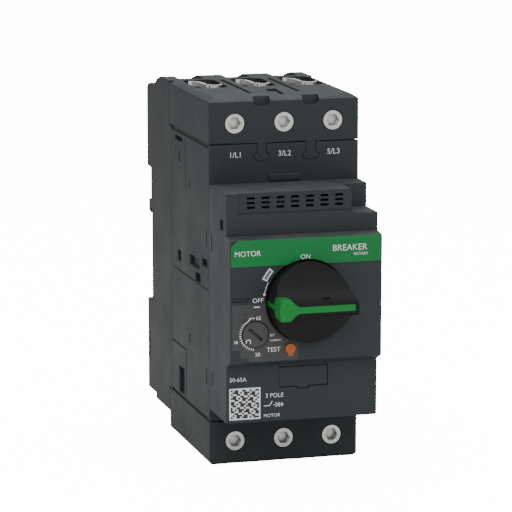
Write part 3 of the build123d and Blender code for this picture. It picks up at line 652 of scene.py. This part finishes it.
# the dial's scale: a leader and ticks along an arc, and the little arch on the dial itself, all in mm
# from the knob's centre and in degrees
dialScale = {
    "centre": (-18.4, -10.9),
    "radius": 5.45,
    "start": 142.0,
    "end": 262.0,
    "ticks": 15,
    "tickLength": 0.8,
    "tickWidth": 0.28,
    "leader": ((-18.8, -5.2), (-20.4, -5.2), (-20.8, -6.0), (-22.3, -7.2)),
    "arch": ((-21.8, -14.0), (-21.8, -13.1), (-21.5, -12.75), (-20.6, -12.75), (-20.3, -13.1), (-20.3, -14.0)),
    "foot": (-6.6, -4.7, -19.2, -17.9),
    "lineWidth": 0.34,
}


def onPanel(point):
    return (point[0] * mm, knobZ + point[1] * mm)


def pathShapes(path, width):
    return [stroke(onPanel(first), onPanel(last), width) for first, last in zip(path, path[1:])]


scaleShapes = pathShapes(dialScale["leader"], dialScale["lineWidth"] * mm)
archShapes = pathShapes(dialScale["arch"], dialScale["lineWidth"] * mm)
markShapes("dialArch", archShapes, dialY, bodyOf["current_dial"], whiteInk)
footLeft, footRight, footLow, footHigh = dialScale["foot"]
footOutline = [onPanel(point) for point in bar(footLeft, footRight, footLow, footHigh)]
markShapes("testFoot", [footOutline], panelY, bodyOf["setting_plate"], finishes["orange"])
scaleX, scaleZ = onPanel(dialScale["centre"])
for i in range(dialScale["ticks"]):
    share = i / (dialScale["ticks"] - 1)
    angle = math.radians(dialScale["start"] + share * (dialScale["end"] - dialScale["start"]))
    ends = []
    for reach in (-0.5, 0.5):            # the tick's inner and outer end
        radius = (dialScale["radius"] + reach * dialScale["tickLength"]) * mm
        ends.append((scaleX + radius * math.cos(angle), scaleZ + radius * math.sin(angle)))
    scaleShapes.append(stroke(ends[0], ends[1], dialScale["tickWidth"] * mm))
markShapes("dialScale", scaleShapes, panelY, bodyOf["setting_plate"], whiteInk)

# the tripped tag along the knob's rim, its arrow, and the dash under the off mark, in mm and degrees
tripTag = {
    "radius": 17.1,
    "width": 1.9,
    "inner": 1.0,
    "start": 137.5,
    "end": 152.5,
    "arrowRadius": 15.55,
    "arrowEnd": 168.0,
    "arrowWidth": 0.22,
    "innerInset": 1.6,
    "arrowHead": 0.65,
    "arrowSlender": 1.4,
    "dash": ((-19.0, -1.35), (-16.8, -1.35)),
    "dashWidth": 0.42,
}


def tagBand(radius, width, start, end):
    return arcBand(0, knobZ, tripTag[radius] * mm, tripTag[width] * mm, start, end)


tagStart, tagEnd, inset = tripTag["start"], tripTag["end"], tripTag["innerInset"]
tagShapes = [
    tagBand("radius", "width", tagStart, tagEnd),
    tagBand("arrowRadius", "arrowWidth", tagEnd, tripTag["arrowEnd"]),
    stroke(*(onPanel(point) for point in tripTag["dash"]), tripTag["dashWidth"] * mm),
]
tipAngle = math.radians(tripTag["arrowEnd"])
outward = Vector((math.cos(tipAngle), math.sin(tipAngle)))
onward = Vector((-outward.y, outward.x))
tip = outward * tripTag["arrowRadius"] * mm + Vector((0, knobZ))
head = tripTag["arrowHead"] * mm
point = tip + onward * head * tripTag["arrowSlender"]
tagShapes.append([tuple(point), tuple(tip + outward * head), tuple(tip - outward * head)])
markShapes("tripTag", tagShapes, panelY, bodyOf["front_cover"], whiteInk)
innerBand = tagBand("radius", "inner", tagStart + inset, tagEnd - inset)
markShapes("tripTagInner", [innerBand], panelY, bodyOf["front_cover"], greyInk, level=1)
print("panel marks done")

# words, data square and breaker symbol on the lower zone: place from the bottom centre and size, in mm
zoneWords = {
    "markRange": ("50-65A", -23.3, 36.2, 2.05),
    "markPoles": ("3 POLE", -10.1, 29.9, 2.15),
    "markKind": ("MOTOR", -11.0, 22.8, 1.65),
}
for name, (words, x, z, size) in zoneWords.items():
    markText(name, words, x * mm, z * mm, size * mm, zoneY, bodyOf["front_cover"], whiteInk)

dataSquare = {"low": (-26.5, 21.8), "side": 11.3, "cells": 15, "border": 0.55, "cellHeight": 0.98}


def patternFilled(column, row):
    # a plain woven pattern of blocks and diagonals; it carries no message
    return (column * 5 + row * 3) % 7 < 3 or (column + row) % 4 == 0


squareX, squareZ = (value * mm for value in dataSquare["low"])
squareSide, border = dataSquare["side"] * mm, dataSquare["border"] * mm
sheet = bar(squareX, squareX + squareSide, squareZ, squareZ + squareSide)
markShapes("dataSquare", [sheet], zoneY, bodyOf["front_cover"], whiteInk)
cell = (squareSide - 2 * border) / dataSquare["cells"]
cellShapes = []
for row in range(dataSquare["cells"]):
    column = 0
    while column < dataSquare["cells"]:
        last = column
        while last < dataSquare["cells"] and patternFilled(last, row):
            last += 1
        if last > column:
            x0, z0 = squareX + border + column * cell, squareZ + border + row * cell
            cellShapes.append(bar(x0, x0 + (last - column) * cell, z0, z0 + cell * dataSquare["cellHeight"]))
        column = last + 1
markShapes("dataSquareCells", cellShapes, zoneY, bodyOf["front_cover"], darkInk, level=1)

breakerSign = {
    "lineWidth": 0.3,
    "paths": (
        ((-13.9, 26.3), (-11.9, 26.3), (-10.9, 27.9)),
        ((-10.5, 26.5), (-9.7, 26.5)),
        ((-9.6, 25.7), (-8.2, 27.3)),
        ((-9.6, 27.3), (-8.2, 25.7)),
        ((-8.9, 26.5), (-6.8, 26.5)),
        ((-7.6, 27.1), (-6.9, 26.5), (-7.6, 25.9)),
    ),
}
signShapes = []
for path in breakerSign["paths"]:
    for first, last in zip(path, path[1:]):
        begin, finish = ((x * mm, z * mm) for x, z in (first, last))
        signShapes.append(stroke(begin, finish, breakerSign["lineWidth"] * mm))
markShapes("breakerSign", signShapes, zoneY, bodyOf["front_cover"], whiteInk)

terminalMarks = {"words": ("1/L1", "3/L2", "5/L3"), "z": 111.75, "size": 2.75, "shift": 0.15}
for x, words in zip(poleX, terminalMarks["words"]):
    spot, height = x + terminalMarks["shift"] * mm, terminalMarks["z"] * mm
    markText(f"terminalMark{words[0]}", words, spot, height, terminalMarks["size"] * mm, blockY,
             bodyOf["case_housing"], whiteInk)
print("lettering done")

# bright sprung lips of the clamps, seen down the upper wire entries: paths in mm from the pole, from above
clampLips = {
    "top": 0.15,
    "height": 1.8,
    "thickness": 1.0,
    "rear": ((-3.7, 27.2), (-2.2, 26.9), (-0.6, 25.2), (0.2, 20.5), (0.4, 14.5)),
    "front": ((0.2, 17.2), (1.6, 14.6), (3.6, 13.6), (5.6, 15.0), (6.4, 17.6)),
}


def curvedStrip(name, path, x, top, height, thickness):
    # an upright strip of sheet that follows a path seen from above
    half = thickness / 2
    left, right = [], []
    points = [Vector((x + px * mm, py * mm)) for px, py in path]
    for i, point in enumerate(points):
        ahead = points[min(i + 1, len(points) - 1)] - points[max(i - 1, 0)]
        beside = Vector((-ahead.y, ahead.x)).normalized() * half
        left.append(point + beside)
        right.append(point - beside)
    outline = left + right[::-1]
    mesh = bpy.data.meshes.new(name)
    piece = bpy.data.objects.new(name, mesh)
    bpy.context.scene.collection.objects.link(piece)
    mesh.from_pydata([(p.x, p.y, top) for p in outline], [], [list(range(len(outline)))])
    onlySelect(piece)
    bpy.ops.object.mode_set(mode="EDIT")
    bpy.ops.mesh.select_all(action="SELECT")
    bpy.ops.mesh.extrude_region_move(TRANSFORM_OT_translate={"value": (0, 0, -height)})
    bpy.ops.mesh.select_all(action="SELECT")
    bpy.ops.mesh.normals_make_consistent(inside=False)
    bpy.ops.object.mode_set(mode="OBJECT")
    return piece


for i, x in enumerate(poleX, start=1):
    strips = []
    for part in ("rear", "front"):
        lip = curvedStrip(f"clampLip{part}{i}", clampLips[part], x, capHigh.z - clampLips["top"] * mm,
                          clampLips["height"] * mm, clampLips["thickness"] * mm)
        strips.append(lip)
    settle(joinPieces(strips, f"clampLips{i}"), bodyOf["upper_terminal_cap"], brightStrip)
print("clamp lips done")

# the camera looks from the left of the front, a little from above
cameraLook = {
    "spot": (-0.28679, -1.00535, 0.26357),
    "aim": (0.266645, 0.946533, -0.181593),
    "lens": 205.84,
    "sensor": 36.0,
    "clip": (0.05, 20.0),
}
cameraData = bpy.data.cameras.new("camera")
cameraData.lens = cameraLook["lens"]
cameraData.sensor_width = cameraLook["sensor"]
cameraData.clip_start, cameraData.clip_end = cameraLook["clip"]
camera = bpy.data.objects.new("camera", cameraData)
bpy.context.scene.collection.objects.link(camera)
camera.location = cameraLook["spot"]
camera.rotation_euler = Vector(cameraLook["aim"]).to_track_quat("-Z", "Y").to_euler()
bpy.context.scene.camera = camera

# a white floor that stays white to the camera, and soft studio light
stageLook = {
    "floorSize": 8.0,
    "floorDrop": 0.0002,        # the floor lies this far under the object
    "floorColour": (0.95, 0.95, 0.95),
    "floorRoughness": 0.9,
    "floorGlow": 14.0,
    "worldLight": 0.34,
    "lightTarget": (0.0, 0.0, 0.066),
}
bpy.ops.mesh.primitive_plane_add(size=stageLook["floorSize"], location=(0, 0, -stageLook["floorDrop"]))
floor = bpy.context.object
floor.name = "studioFloor"
floorMaterial, floorTree, floorShader = newMaterial("paleFloor", stageLook["floorColour"])
floorShader.inputs["Base Color"].default_value = (*stageLook["floorColour"], 1.0)
floorShader.inputs["Roughness"].default_value = stageLook["floorRoughness"]
floorShader.inputs["Emission Color"].default_value = (1.0, 1.0, 1.0, 1.0)
seen = floorTree.nodes.new("ShaderNodeLightPath").outputs["Is Camera Ray"]
glow = rangeNode(floorTree, seen, 0.0, 1.0, 0.0, stageLook["floorGlow"])
feed(floorTree, floorShader.inputs["Emission Strength"], glow)
floor.data.materials.append(floorMaterial)

# each light: its place, its side and its power
lights = {
    "keyLight": ((-0.2, -0.95, 0.75), 0.7, 9.0),
    "fillLight": ((0.9, -0.6, 0.4), 0.9, 2.0),
    "topLight": ((0.0, 0.2, 0.95), 0.9, 8.0),
    "sideLight": ((-0.95, 0.1, 0.35), 0.8, 0.5),
}
for name, (spot, size, power) in lights.items():
    data = bpy.data.lights.new(name, "AREA")
    data.shape, data.size, data.energy = "SQUARE", size, power
    light = bpy.data.objects.new(name, data)
    bpy.context.scene.collection.objects.link(light)
    light.location = spot
    toTarget = Vector(stageLook["lightTarget"]) - Vector(spot)
    light.rotation_euler = toTarget.to_track_quat("-Z", "Y").to_euler()

world = bpy.data.worlds.new("studioWorld")
bpy.context.scene.world = world
world.use_nodes = True
backdrop = world.node_tree.nodes["Background"]
backdrop.inputs["Color"].default_value = (1.0, 1.0, 1.0, 1.0)
backdrop.inputs["Strength"].default_value = stageLook["worldLight"]
